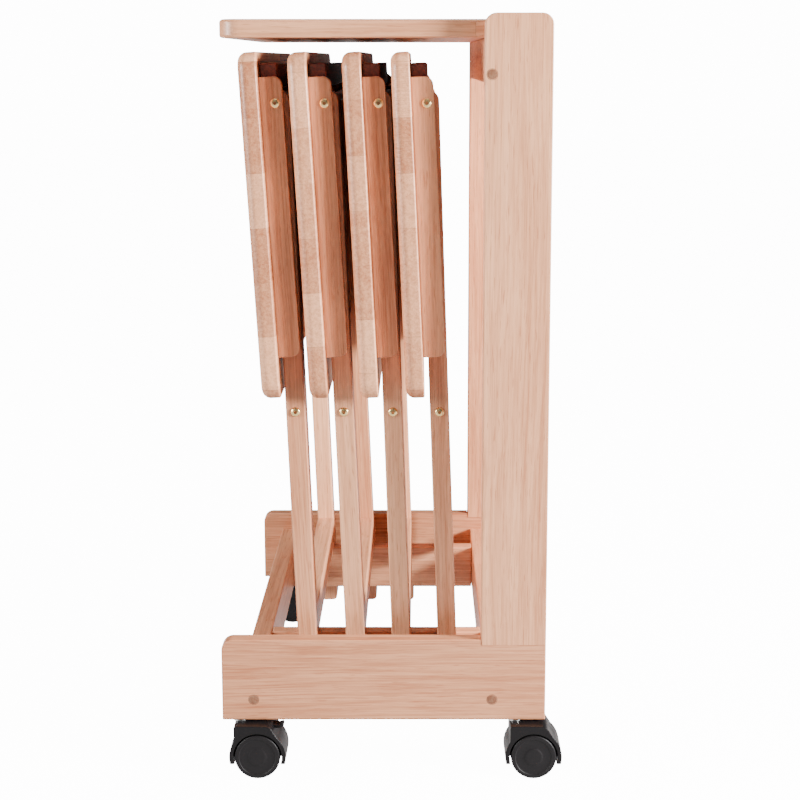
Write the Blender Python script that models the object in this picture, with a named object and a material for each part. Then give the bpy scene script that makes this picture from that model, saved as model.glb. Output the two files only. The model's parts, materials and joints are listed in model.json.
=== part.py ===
"""Rolling wooden stand with four folding tray tables hung in it.

X runs from the open front of the stand (-X) to its posts (+X), Y across it, Z up from the floor.
Each tray hangs folded: its panel in front, its two pairs of legs closed behind the panel,
and the stretcher between the inner legs resting on the ledgers of the stand.
"""

from math import asin, cos, degrees, pi, radians, sin, sqrt, tan

import bmesh
import bpy
from mathutils import Matrix, Vector

# ---- sizes in metres ----
GAP = 0.0003                   # between pieces that touch
EDGE_EASE = 0.001              # small round or bevel on sawn edges
CUT_OVERRUN = 0.001            # how far a cutter stands out of the wood
NEAR = 1e-6                    # two places nearer than this are the same
RUNNING_GAP = 0.0004           # between pieces that turn on each other

FRAME_THICKNESS = 0.018        # side rails and posts
CASTER_HEAD_ROOM = 0.013       # from the top of the wheels to the rails
RAIL_HEIGHT = 0.092
RAIL_NOSE_RADIUS = 0.014
RAIL_CORNER_RADIUS = 0.002
POST_WIDTH = 0.071
POST_CORNER_RADIUS = 0.012
POST_SEAT_DEPTH = 0.006        # the post stands this deep in the rail

BOARD_THICKNESS = 0.0194
BOARD_DROP = 0.006             # the board's face lies this far below the post tops
BOARD_FRONT_SETBACK = 0.0065
BOARD_BACK_SETBACK = 0.004
BOARD_CORNER_RADIUS = 0.022
BOARD_EDGE_RADIUS = 0.002
APRON_THICKNESS = 0.0196
APRON_HEIGHT = 0.046

CROSSBAR_THICKNESS = 0.0216
CROSSBAR_HEIGHT = 0.055
CROSSBAR_RISE = 0.015          # underside of the crossbars above that of the rails
FRONT_CROSSBAR_SETBACK = 0.026
BACK_CROSSBAR_OFFSET = 0.0035  # behind the front edge of the posts
LEDGER_THICKNESS = 0.018
LEDGER_LEG_GAP = 0.0025        # between a ledger and the inner legs beside it
LEDGER_HEIGHT = 0.0555

TRAY_WIDTH = 0.483             # along Y
TRAY_LENGTH = 0.370            # along the folded panel
PANEL_THICKNESS = 0.020
PANEL_CORNER_RADIUS = 0.016
PANEL_EDGE_RADIUS = 0.009
PANEL_UNDER_CHAMFER = 0.0015
PIVOT_FROM_END = 0.0546        # bolt axis to the upper end of the panel
LEG_UNDER_PANEL = 0.0085       # from the underside of the panel to the upper ends of the legs
CLEAT_THICKNESS = 0.018
CLEAT_BEHIND_PIVOT = 0.0076    # edge of a cleat behind the bolt axis
CLEAT_LENGTH = 0.299
CLEAT_ABOVE_PIVOT = 0.028
CLEAT_CORNER_RADIUS = 0.008
CLEAT_INSET = 0.0135           # outer face of a cleat inside the end of the panel
CLEAT_SIDE_ROOM = 0.008        # between a cleat and the side frame, seen along X
BATTEN_DEPTH = 0.0185
BATTEN_HEIGHT = 0.026
BATTEN_LEG_GAP = 0.0035        # between the upper ends of the legs and the batten

LEG_WIDTH = 0.021
LEG_THICKNESS = 0.018
LEG_OFFSET = 0.003             # leg's middle line behind the bolt axis
LEG_END_RISE = 0.002           # middle of the round leg end above the bolt axis
LEG_LENGTH = 0.684             # bolt axis to the foot
LEG_FOOT_RADIUS = 0.005
LEG_EASE = 0.0015
WASHER_GAP = 0.002             # between a cleat and its outer leg
LEG_GAP = 0.0005               # between an outer leg and an inner leg
FOOT_DROP = 0.082              # underside of the stretcher to the feet
STRETCHER_HEIGHT = 0.034
BOLT_RADIUS = 0.003
BOLT_HEAD_RADIUS = 0.0053
BOLT_HEAD_LENGTH = 0.0026
BOLT_BITE = 0.014              # how deep a hinge bolt reaches into the outer leg

TRAY_FRONT_ROOM = 0.0291       # front end of the rails to the first panel, at the bolt axis
TRAY_ROOM = 0.0036             # between one folded tray and the next panel, at the bolt axis
TRAY_BACK_ROOM = 0.0461        # last tray's legs to the posts, at the bolt axis
HEAD_ROOM = 0.013              # panels to the top board
# name, how far it hangs out of step along X, lean of the panel and lean of the legs in degrees
TRAYS = (
    ("tray_1", 0.0, 3.3, 2.2),
    ("tray_2", -0.0013, 3.2, 2.4),
    ("tray_3", 0.0022, 2.8, 1.9),
    ("tray_4", -0.0001, 2.6, 1.95),
)

PULLED_TRAY = "tray_1"         # the tray that comes out, hung on separate hinge bolts

WHEEL_RADIUS = 0.025
WHEEL_ROUND = 0.003
WHEEL_OUTER_ROUND = 0.0009     # smaller round at the wheels' outer faces
AXLE_RADIUS = 0.003
CASTER_WIDTH = 0.044
CASTER_WEB = 0.005
WHEEL_SIDE_GAP = 0.001
WHEEL_RIM_GAP = 0.0016
HOOD_BAND = 0.0045             # hood wall round the wheels
HOOD_TIP_DROP = 0.008          # hood tips below the axle
HOOD_CROWN_X = 0.006           # middle of the round at the back of the hood's top
HOOD_CROWN_RADIUS = 0.013
HOOD_SHOULDER_ANGLE = 44       # degrees above the axle where the round over the wheels ends
HOOD_BROW_LENGTH = 0.003       # bevel between the hood's top and its front
HOOD_BROW_DROP = 0.004
HOOD_FRONT_DROP = 0.02136      # straight front of the hood, down from its top
HOOD_BOSS = 0.010              # half the width of the web under the axle
CASTER_TRAIL = 0.020           # axle behind the stem
STEM_RADIUS = 0.004
STEM_IN_RAIL = 0.030
STEM_FLOOR = 0.001             # between the stem's end and the wheels' wells
STEM_COLLAR_RADIUS = 0.008
STEM_COLLAR_LENGTH = 0.0018
SWIVEL_WALL = 0.0045           # hood wall in front of the stem
FRONT_STEM_SETBACK = 0.019     # behind the front end of the rails
BACK_STEM_SETBACK = 0.033      # in front of the back end of the rails

ROUND_SIDES = 24
WHEEL_SIDES = 40
STEM_SIDES = 20
BOLT_SIDES = 16
ARC_STEPS = 5
# a bolt head's dome, as shares of its radius and its height
DOME = ((0, 1), (0.6, 1), (0.9, 0.7), (1, 0.3), (1, 0))

# ---- places that follow from the sizes ----
RAIL_BOTTOM = 2 * WHEEL_RADIUS + CASTER_HEAD_ROOM
RAIL_TOP = RAIL_BOTTOM + RAIL_HEIGHT
CROSSBAR_BOTTOM = RAIL_BOTTOM + CROSSBAR_RISE
CROSSBAR_TOP = CROSSBAR_BOTTOM + CROSSBAR_HEIGHT
STRETCHER_DROP = LEG_LENGTH - FOOT_DROP
PIVOT_HEIGHT = CROSSBAR_TOP + STRETCHER_DROP
STAND_HEIGHT = PIVOT_HEIGHT + PIVOT_FROM_END + HEAD_ROOM + BOARD_THICKNESS + BOARD_DROP
PIVOT_UNDER_PANEL = LEG_WIDTH / 2 - LEG_OFFSET + LEG_UNDER_PANEL
CLEAT_DEPTH = PIVOT_UNDER_PANEL + CLEAT_BEHIND_PIVOT
BATTEN_ABOVE_PIVOT = LEG_END_RISE + LEG_WIDTH / 2 + BATTEN_LEG_GAP
TRAY_FRONT = PANEL_THICKNESS + PIVOT_UNDER_PANEL
TRAY_BACK = LEG_OFFSET + LEG_WIDTH / 2
TRAY_PITCH = TRAY_FRONT + TRAY_BACK + TRAY_ROOM
FIRST_TRAY_X = TRAY_FRONT_ROOM + TRAY_FRONT
STAND_LENGTH = FIRST_TRAY_X + (len(TRAYS) - 1) * TRAY_PITCH + TRAY_BACK + TRAY_BACK_ROOM + POST_WIDTH
CLEAT_OUTSIDE = TRAY_WIDTH / 2 - CLEAT_INSET
STAND_WIDTH = 2 * (CLEAT_OUTSIDE + CLEAT_SIDE_ROOM + FRAME_THICKNESS)
FRONT = -STAND_LENGTH / 2
BACK = STAND_LENGTH / 2
POST_FRONT = BACK - POST_WIDTH
SIDE_OUTSIDE = STAND_WIDTH / 2
SIDE_INSIDE = SIDE_OUTSIDE - FRAME_THICKNESS
SIDE_MIDDLE = (SIDE_OUTSIDE + SIDE_INSIDE) / 2
BOARD_TOP = STAND_HEIGHT - BOARD_DROP
BOARD_BOTTOM = BOARD_TOP - BOARD_THICKNESS
FRONT_CROSSBAR_X = FRONT + FRONT_CROSSBAR_SETBACK + CROSSBAR_THICKNESS / 2
BACK_CROSSBAR_X = POST_FRONT + BACK_CROSSBAR_OFFSET + CROSSBAR_THICKNESS / 2
HOOD_RADIUS = WHEEL_RADIUS + WHEEL_RIM_GAP + HOOD_BAND
HOOD_TOP = RAIL_BOTTOM - STEM_COLLAR_LENGTH - 2 * GAP
FRONT_STEM_X = FRONT + FRONT_STEM_SETBACK
BACK_STEM_X = BACK - BACK_STEM_SETBACK
OUTER_LEG_Y = CLEAT_OUTSIDE - CLEAT_THICKNESS - WASHER_GAP - LEG_THICKNESS / 2
INNER_LEG_Y = OUTER_LEG_Y - LEG_THICKNESS - LEG_GAP
LEDGER_OUTSIDE = INNER_LEG_Y - LEG_THICKNESS / 2 - LEDGER_LEG_GAP
WELL_RADIUS = WHEEL_RADIUS + WHEEL_RIM_GAP
WELL_TOP_AT_STEM = WHEEL_RADIUS + sqrt(WELL_RADIUS ** 2 - (CASTER_TRAIL - STEM_RADIUS) ** 2)
STEM_IN_HOOD = HOOD_TOP - WELL_TOP_AT_STEM - STEM_FLOOR
CLEAT_Y = CLEAT_OUTSIDE - CLEAT_THICKNESS / 2
HINGE_BOLT_END = OUTER_LEG_Y + LEG_THICKNESS / 2 - BOLT_BITE
# The casters trail past the back of the rails, so the middle of the whole lies behind the rails' middle.
WHOLE_MIDDLE_X = (FRONT + BACK_STEM_X + CASTER_TRAIL + HOOD_RADIUS) / 2


# ---- scene ----
def clear_scene():
    for old in list(bpy.data.objects):
        bpy.data.objects.remove(old, do_unlink=True)


def new_collection(name):
    collection = bpy.data.collections.new(name)
    bpy.context.scene.collection.children.link(collection)
    return collection


def material(name, colour, roughness, metallic=0.0):
    made = bpy.data.materials.new(name)
    made.use_nodes = True
    shader = made.node_tree.nodes["Principled BSDF"]
    shader.inputs["Base Color"].default_value = (*colour, 1.0)
    shader.inputs["Roughness"].default_value = roughness
    shader.inputs["Metallic"].default_value = metallic
    made.diffuse_color = (*colour, 1.0)
    return made


class Shop:
    """Holds the collections and materials that every piece is made with."""

    def __init__(self):
        self.parts = new_collection("rolling_tray_table_stand")
        self.cutters = new_collection("cutters")
        self.wood = material("rubberwood", (0.72, 0.46, 0.32), 0.45)
        self.dark_wood = material("dark_stained_wood", (0.10, 0.03, 0.02), 0.4)
        self.brass = material("brass", (0.78, 0.58, 0.25), 0.3, 1.0)
        self.steel = material("zinc_steel", (0.62, 0.62, 0.60), 0.35, 1.0)
        self.plastic = material("black_plastic", (0.025, 0.024, 0.025), 0.4)
        self.origin = bpy.data.objects.new("base_centre", None)
        self.origin.location = (-WHOLE_MIDDLE_X, 0, 0)
        self.parts.objects.link(self.origin)

    def frame(self, name, location, lean=0.0, parent=None):
        """An empty at a joint's axis, leaning its top towards -X by lean degrees."""
        empty = bpy.data.objects.new(name, None)
        empty.location = location
        empty.rotation_euler = (0, -radians(lean), 0)
        empty.parent = parent or self.origin
        self.parts.objects.link(empty)
        return empty

    def add(self, name, mesh, finish, parent=None, location=(0, 0, 0), smooth=False):
        piece = bpy.data.objects.new(name, mesh)
        mesh.materials.clear()
        mesh.materials.append(finish)
        piece.parent = parent or self.origin
        piece.location = location
        if smooth:
            mesh.shade_smooth()
            mesh.set_sharp_from_angle(angle=radians(35))
        self.parts.objects.link(piece)
        return piece

    def cut(self, target, mesh, name):
        """Takes a shape, given in the target's own coordinates, out of the target."""
        cutter = bpy.data.objects.new(name, mesh)
        cutter.parent = target.parent
        cutter.location = target.location
        cutter.display_type = "WIRE"
        cutter.hide_render = True
        self.cutters.objects.link(cutter)
        boolean = target.modifiers.new(name, "BOOLEAN")
        boolean.operation = "DIFFERENCE"
        boolean.solver = "EXACT"
        boolean.object = cutter


# ---- meshes ----
def mesh_from(bm, name):
    bmesh.ops.recalc_face_normals(bm, faces=bm.faces)
    mesh = bpy.data.meshes.new(name)
    bm.to_mesh(mesh)
    bm.free()
    return mesh


def box_bmesh(low, high):
    low, high = Vector(low), Vector(high)
    bm = bmesh.new()
    size = high - low
    place = Matrix.Translation((low + high) / 2) @ Matrix.Diagonal((*size, 1))
    bmesh.ops.create_cube(bm, size=1, matrix=place)
    return bm


def box(name, low, high, ease=0.0012):
    """A box with its edges eased by a small round."""
    bm = box_bmesh(low, high)
    if ease:
        bmesh.ops.bevel(bm, geom=bm.edges[:], offset=ease, segments=2, profile=0.5, affect="EDGES")
    return mesh_from(bm, name)


def rod(name, start, end, radius, sides=ROUND_SIDES):
    """A cylinder from one point to another."""
    start, end = Vector(start), Vector(end)
    along = end - start
    turn = along.to_track_quat("Z", "Y").to_matrix().to_4x4()
    bm = bmesh.new()
    bmesh.ops.create_cone(bm, cap_ends=True, segments=sides, radius1=radius, radius2=radius,
                          depth=along.length, matrix=Matrix.Translation((start + end) / 2) @ turn)
    return mesh_from(bm, name)


def turned(name, profile, place, sides=ROUND_SIDES):
    """A profile of (radius, height) turned once round its own Z axis, then put in place."""
    bm = bmesh.new()
    points = [bm.verts.new((radius, 0, height)) for radius, height in profile]
    edges = [bm.edges.new(pair) for pair in zip(points, points[1:])]
    bmesh.ops.spin(bm, geom=points + edges, cent=(0, 0, 0), axis=(0, 0, 1), angle=2 * pi,
                   steps=sides, use_merge=True, use_duplicate=False)
    bmesh.ops.remove_doubles(bm, verts=bm.verts, dist=1e-5)
    bmesh.ops.transform(bm, matrix=place, verts=bm.verts)
    return mesh_from(bm, name)


def rounded(corners, steps=ARC_STEPS):
    """An outline whose corners (x, z, radius) are each turned into an arc."""
    outline = []
    for index, (x, z, radius) in enumerate(corners):
        here = Vector((x, z))
        if radius == 0:
            outline.append(here)
            continue
        before = Vector(corners[index - 1][:2]) - here
        after = Vector(corners[(index + 1) % len(corners)][:2]) - here
        before.normalize()
        after.normalize()
        half = before.angle(after) / 2
        middle = here + (before + after).normalized() * (radius / sin(half))
        start = here + before * (radius / tan(half)) - middle
        end = here + after * (radius / tan(half)) - middle
        sweep = start.angle_signed(end)
        for step in range(steps + 1):
            turn = Matrix.Rotation(-sweep * step / steps, 2)
            outline.append(middle + turn @ start)
    return outline


def arc(middle, radius, start, end, steps):
    """Points (x, z) on an arc, its angles in degrees from +X towards +Z."""
    angles = [radians(start + (end - start) * step / steps) for step in range(steps + 1)]
    return [Vector((middle[0] + radius * cos(a), middle[1] + radius * sin(a))) for a in angles]


def plate(name, outline, low_y, high_y, ease=0.0):
    """A flat outline in X and Z, as thick as low_y to high_y."""
    curve = bpy.data.curves.new(name, "CURVE")
    curve.dimensions = "2D"
    curve.fill_mode = "BOTH"
    curve.extrude = (high_y - low_y) / 2
    spline = curve.splines.new("POLY")
    spline.points.add(len(outline) - 1)
    for point, (x, z) in zip(spline.points, outline):
        point.co = (x, z, 0, 1)
    spline.use_cyclic_u = True
    flat = bpy.data.objects.new(name, curve)
    bpy.context.scene.collection.objects.link(flat)
    bpy.context.view_layer.update()
    shape = bpy.data.meshes.new_from_object(flat.evaluated_get(bpy.context.evaluated_depsgraph_get()))
    bpy.data.objects.remove(flat)
    bpy.data.curves.remove(curve)
    bm = bmesh.new()
    bm.from_mesh(shape)
    bpy.data.meshes.remove(shape)
    bmesh.ops.remove_doubles(bm, verts=bm.verts, dist=1e-5)
    bmesh.ops.dissolve_limit(bm, angle_limit=radians(0.5), verts=bm.verts, edges=bm.edges)
    stand_up = Matrix.Rotation(pi / 2, 4, "X")
    shift = Matrix.Translation((0, (low_y + high_y) / 2, 0))
    bmesh.ops.transform(bm, matrix=shift @ stand_up, verts=bm.verts)
    if ease:
        rim = [e for e in bm.edges if abs(e.verts[0].co.y - e.verts[1].co.y) < NEAR]
        bmesh.ops.bevel(bm, geom=rim, offset=ease, segments=1, affect="EDGES", clamp_overlap=True)
    return mesh_from(bm, name)


# ---- the stand ----
def make_side_frame(shop, side, sign):
    """A side rail with a post standing in the seat at its back end."""
    low_y, high_y = sorted((sign * SIDE_INSIDE, sign * SIDE_OUTSIDE))
    seat = RAIL_TOP - POST_SEAT_DEPTH
    rail = rounded((
        (FRONT, RAIL_BOTTOM, RAIL_CORNER_RADIUS),
        (BACK, RAIL_BOTTOM, RAIL_CORNER_RADIUS),
        (BACK, seat, 0),
        (POST_FRONT - GAP, seat, 0),
        (POST_FRONT - GAP, RAIL_TOP, 0),
        (FRONT, RAIL_TOP, RAIL_NOSE_RADIUS),
    ))
    post = rounded((
        (POST_FRONT, seat + GAP, 0),
        (BACK, seat + GAP, 0),
        (BACK, STAND_HEIGHT, POST_CORNER_RADIUS),
        (POST_FRONT, STAND_HEIGHT, POST_CORNER_RADIUS),
    ))
    name = "side_rail_" + side
    rail = shop.add(name, plate(name, rail, low_y, high_y, ease=EDGE_EASE), shop.wood)
    name = "post_" + side
    shop.add(name, plate(name, post, low_y, high_y, ease=EDGE_EASE), shop.wood)
    for place, stem_x in (("front", FRONT_STEM_X), ("back", BACK_STEM_X)):
        low = (stem_x, sign * SIDE_MIDDLE, RAIL_BOTTOM - CUT_OVERRUN)
        high = (stem_x, sign * SIDE_MIDDLE, RAIL_BOTTOM + STEM_IN_RAIL + GAP)
        hole = rod("stem_hole", low, high, STEM_RADIUS + GAP, BOLT_SIDES)
        shop.cut(rail, hole, f"{place}_stem_hole_{side}")


def make_top_board(shop, reach):
    board_front = FRONT + BOARD_FRONT_SETBACK
    board = box_bmesh((board_front, -reach, BOARD_BOTTOM), (BACK - BOARD_BACK_SETBACK, reach, BOARD_TOP))
    front_corners = [e for e in board.edges if all(abs(v.co.x - board_front) < NEAR for v in e.verts)
                     and abs(e.verts[0].co.y - e.verts[1].co.y) < NEAR]
    bmesh.ops.bevel(board, geom=front_corners, offset=BOARD_CORNER_RADIUS, segments=6,
                    profile=0.5, affect="EDGES")
    rim = [e for e in board.edges if abs(e.verts[0].co.z - e.verts[1].co.z) < NEAR]
    bmesh.ops.bevel(board, geom=rim, offset=BOARD_EDGE_RADIUS, segments=2, profile=0.5, affect="EDGES")
    shop.add("top_board", mesh_from(board, "top_board"), shop.wood)


def make_stand(shop):
    sides = (("right", -1), ("left", 1))
    for side, sign in sides:
        make_side_frame(shop, side, sign)

    reach = SIDE_INSIDE - GAP
    for name, middle in (("front_crossbar", FRONT_CROSSBAR_X), ("back_crossbar", BACK_CROSSBAR_X)):
        low = (middle - CROSSBAR_THICKNESS / 2, -reach, CROSSBAR_BOTTOM)
        high = (middle + CROSSBAR_THICKNESS / 2, reach, CROSSBAR_TOP)
        shop.add(name, box(name, low, high), shop.wood)

    make_top_board(shop, reach)
    low = (POST_FRONT, -reach, BOARD_BOTTOM - GAP - APRON_HEIGHT)
    high = (POST_FRONT + APRON_THICKNESS, reach, BOARD_BOTTOM - GAP)
    shop.add("top_apron", box("top_apron", low, high), shop.wood)

    front = FRONT_CROSSBAR_X + CROSSBAR_THICKNESS / 2 + GAP
    back = BACK_CROSSBAR_X - CROSSBAR_THICKNESS / 2 - GAP
    for side, sign in sides:
        middle = sign * (LEDGER_OUTSIDE - LEDGER_THICKNESS / 2)
        low = (front, middle - LEDGER_THICKNESS / 2, CROSSBAR_TOP - LEDGER_HEIGHT)
        high = (back, middle + LEDGER_THICKNESS / 2, CROSSBAR_TOP - GAP)
        name = "ledger_" + side
        shop.add(name, box(name, low, high), shop.wood)


# ---- the trays ----
def panel_mesh(name):
    """The panel, in the bolt axis's frame: its top face looks towards -X."""
    under = -PIVOT_UNDER_PANEL
    top = under - PANEL_THICKNESS
    high = PIVOT_FROM_END
    bm = box_bmesh((top, -TRAY_WIDTH / 2, high - TRAY_LENGTH), (under, TRAY_WIDTH / 2, high))
    corners = [e for e in bm.edges if abs(e.verts[0].co.x - e.verts[1].co.x) > NEAR]
    bmesh.ops.bevel(bm, geom=corners, offset=PANEL_CORNER_RADIUS, segments=5, profile=0.5, affect="EDGES")
    for face_x, offset, steps in ((top, PANEL_EDGE_RADIUS, 4), (under, PANEL_UNDER_CHAMFER, 1)):
        rim = [e for e in bm.edges if all(abs(v.co.x - face_x) < NEAR for v in e.verts)]
        bmesh.ops.bevel(bm, geom=rim, offset=offset, segments=steps, profile=0.5, affect="EDGES")
    return mesh_from(bm, name)


def leg_outline():
    """A leg's side view in the bolt axis's frame: round at the top, eased at the foot."""
    front = LEG_OFFSET - LEG_WIDTH / 2
    back = LEG_OFFSET + LEG_WIDTH / 2
    foot = rounded(((front, -LEG_LENGTH, LEG_FOOT_RADIUS), (back, -LEG_LENGTH, LEG_FOOT_RADIUS),
                    (back, LEG_END_RISE, 0), (front, LEG_END_RISE, 0)), steps=3)[:-2]
    return foot + arc((LEG_OFFSET, LEG_END_RISE), LEG_WIDTH / 2, 0, 180, 10)


def hinge_bolt(name, sign):
    """A bolt along Y with a domed head outside the cleat, on the side that sign gives."""
    outside = CLEAT_OUTSIDE + GAP
    length = outside - HINGE_BOLT_END
    head = [(BOLT_HEAD_RADIUS * wide, -BOLT_HEAD_LENGTH * high) for wide, high in DOME]
    profile = head + [(BOLT_RADIUS, 0), (BOLT_RADIUS, length), (0, length)]
    turn = Matrix.Rotation(sign * pi / 2, 4, "X")
    return turned(name, profile, Matrix.Translation((0, sign * outside, 0)) @ turn, BOLT_SIDES)


def side_plate(name, outline, middle, thickness, sign, ease):
    """A flat piece on one side of the tray, its middle that far from the tray's middle."""
    return plate(name, outline, sign * middle - thickness / 2, sign * middle + thickness / 2, ease)


def make_tray(shop, name, pivot_x, panel_lean, leg_lean):
    at_pivot = (pivot_x, 0, PIVOT_HEIGHT)
    top = shop.frame(name + "_panel_frame", at_pivot, panel_lean)
    legs = shop.frame(name + "_leg_frame", at_pivot, leg_lean)
    under = -PIVOT_UNDER_PANEL + GAP

    shop.add(name + "_panel", panel_mesh(name), shop.wood, top, smooth=True)

    reach = CLEAT_OUTSIDE - CLEAT_THICKNESS - GAP
    batten = box(name, (under, -reach, BATTEN_ABOVE_PIVOT),
                 (under + BATTEN_DEPTH, reach, BATTEN_ABOVE_PIVOT + BATTEN_HEIGHT))
    shop.add(name + "_end_batten", batten, shop.dark_wood, top)

    reach = INNER_LEG_Y - LEG_THICKNESS / 2 - GAP
    front = LEG_OFFSET - LEG_WIDTH / 2
    stretcher = box(name, (front, -reach, -STRETCHER_DROP),
                    (front + LEG_WIDTH, reach, STRETCHER_HEIGHT - STRETCHER_DROP))
    shop.add(name + "_stretcher", stretcher, shop.wood, legs)

    low, high = CLEAT_ABOVE_PIVOT - CLEAT_LENGTH, CLEAT_ABOVE_PIVOT
    back = under + CLEAT_DEPTH
    cleat = rounded(((under, low, EDGE_EASE), (back, low, CLEAT_CORNER_RADIUS),
                     (back, high, CLEAT_CORNER_RADIUS), (under, high, EDGE_EASE)))
    for side, sign in (("right", -1), ("left", 1)):
        label = f"{name}_cleat_{side}"
        plan = side_plate(label, cleat, CLEAT_Y, CLEAT_THICKNESS, sign, EDGE_EASE)
        cleat_piece = shop.add(label, plan, shop.wood, top)
        label = f"{name}_outer_leg_{side}"
        plan = side_plate(label, leg_outline(), OUTER_LEG_Y, LEG_THICKNESS, sign, LEG_EASE)
        outer_leg = shop.add(label, plan, shop.wood, legs)
        label = f"{name}_inner_leg_{side}"
        plan = side_plate(label, leg_outline(), INNER_LEG_Y, LEG_THICKNESS, sign, LEG_EASE)
        shop.add(label, plan, shop.wood, legs)
        if name == PULLED_TRAY:
            shop.add(f"{name}_hinge_bolt_{side}", hinge_bolt(name, sign), shop.brass, top)
            start = sign * (CLEAT_OUTSIDE + CUT_OVERRUN)
            stop = sign * (HINGE_BOLT_END - GAP)
            for target in (cleat_piece, outer_leg):
                hole = rod(label, (0, start, 0), (0, stop, 0), BOLT_RADIUS + RUNNING_GAP, BOLT_SIDES)
                shop.cut(target, hole, target.name + "_bolt_hole")


# ---- the casters ----
def hood_outline():
    """The hood's side view in the axle's frame, the swivel stem towards -X."""
    top = HOOD_TOP - WHEEL_RADIUS
    nose = -CASTER_TRAIL - STEM_RADIUS - SWIVEL_WALL
    tip = -HOOD_TIP_DROP
    tip_x = sqrt(HOOD_RADIUS ** 2 - tip ** 2)
    shoulder = arc((0, 0), HOOD_RADIUS, degrees(asin(tip / HOOD_RADIUS)), HOOD_SHOULDER_ANGLE, 8)
    crown = arc((HOOD_CROWN_X, top - HOOD_CROWN_RADIUS), HOOD_CROWN_RADIUS, 45, 90, 4)
    front = [Vector((nose + HOOD_BROW_LENGTH, top)), Vector((nose, top - HOOD_BROW_DROP)),
             Vector((nose, top - HOOD_FRONT_DROP)), Vector((-tip_x, 0)), Vector((-tip_x, tip))]
    boss = [Vector((-HOOD_BOSS, tip)), Vector((HOOD_BOSS, tip))]
    return shoulder + crown + front + boss


def make_caster(shop, name, stem_x, sign):
    swivel = shop.frame(name + "_swivel", (stem_x, sign * SIDE_MIDDLE, 0))
    axle = shop.frame(name + "_axle", (CASTER_TRAIL, 0, WHEEL_RADIUS), parent=swivel)

    collar_top = RAIL_BOTTOM - GAP
    collar_low = collar_top - STEM_COLLAR_LENGTH
    profile = ((0, RAIL_BOTTOM + STEM_IN_RAIL), (STEM_RADIUS, RAIL_BOTTOM + STEM_IN_RAIL),
               (STEM_RADIUS, collar_top), (STEM_COLLAR_RADIUS, collar_top),
               (STEM_COLLAR_RADIUS, collar_low), (STEM_RADIUS, collar_low),
               (STEM_RADIUS, HOOD_TOP - STEM_IN_HOOD), (0, HOOD_TOP - STEM_IN_HOOD))
    stem = turned(name, profile, Matrix.Identity(4), STEM_SIDES)
    shop.add(name + "_stem", stem, shop.steel, swivel, smooth=True)

    half = CASTER_WIDTH / 2
    hood = shop.add(name + "_hood", plate(name, hood_outline(), -half, half, ease=EDGE_EASE),
                    shop.plastic, axle, smooth=True)
    for side, sign in (("right", -1), ("left", 1)):
        well = rod(name, (0, sign * CASTER_WEB / 2, 0), (0, sign * (half + CUT_OVERRUN), 0),
                   WELL_RADIUS, WHEEL_SIDES)
        shop.cut(hood, well, f"{name}_well_{side}")
    axle_hole = rod(name, (0, -half, 0), (0, half, 0), AXLE_RADIUS + RUNNING_GAP, BOLT_SIDES)
    shop.cut(hood, axle_hole, name + "_axle_hole")
    top = HOOD_TOP - WHEEL_RADIUS
    socket = rod(name, (-CASTER_TRAIL, 0, top - STEM_IN_HOOD - GAP), (-CASTER_TRAIL, 0, top + CUT_OVERRUN),
                 STEM_RADIUS + RUNNING_GAP, STEM_SIDES)
    shop.cut(hood, socket, name + "_socket")

    inner = CASTER_WEB / 2 + WHEEL_SIDE_GAP
    rim = WHEEL_RADIUS - WHEEL_ROUND
    soft = WHEEL_OUTER_ROUND
    tread = ((rim, inner), (WHEEL_RADIUS, inner + WHEEL_ROUND), (WHEEL_RADIUS, half - WHEEL_ROUND),
             (WHEEL_RADIUS - soft, half - soft), (rim, half), (0, half))
    profile = [(radius, -y) for radius, y in reversed(tread)]
    profile += [(AXLE_RADIUS, -inner), (AXLE_RADIUS, inner)] + list(tread)
    along_y = Matrix.Rotation(-pi / 2, 4, "X")
    shop.add(name + "_wheels", turned(name, profile, along_y, WHEEL_SIDES), shop.plastic, axle, smooth=True)


def main():
    clear_scene()
    shop = Shop()
    make_stand(shop)
    for index, (name, out_of_step, panel_lean, leg_lean) in enumerate(TRAYS):
        pivot_x = FRONT + FIRST_TRAY_X + index * TRAY_PITCH + out_of_step
        make_tray(shop, name, pivot_x, panel_lean, leg_lean)
    for side, sign in (("right", -1), ("left", 1)):
        make_caster(shop, "front_caster_" + side, FRONT_STEM_X, sign)
        make_caster(shop, "back_caster_" + side, BACK_STEM_X, sign)


main()
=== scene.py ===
"""Looks for a rolling stand with four folding tray tables hung in it.

Every wooden piece is a board with a rounded rim, worked out from the size and lean of the solid
that it stands for. The casters, bolts and plugs are turned or cut shapes. Wood grain follows each
board's own length, which is stored on the mesh as the attribute "grain". Sizes are in metres.
"""

import json

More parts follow.
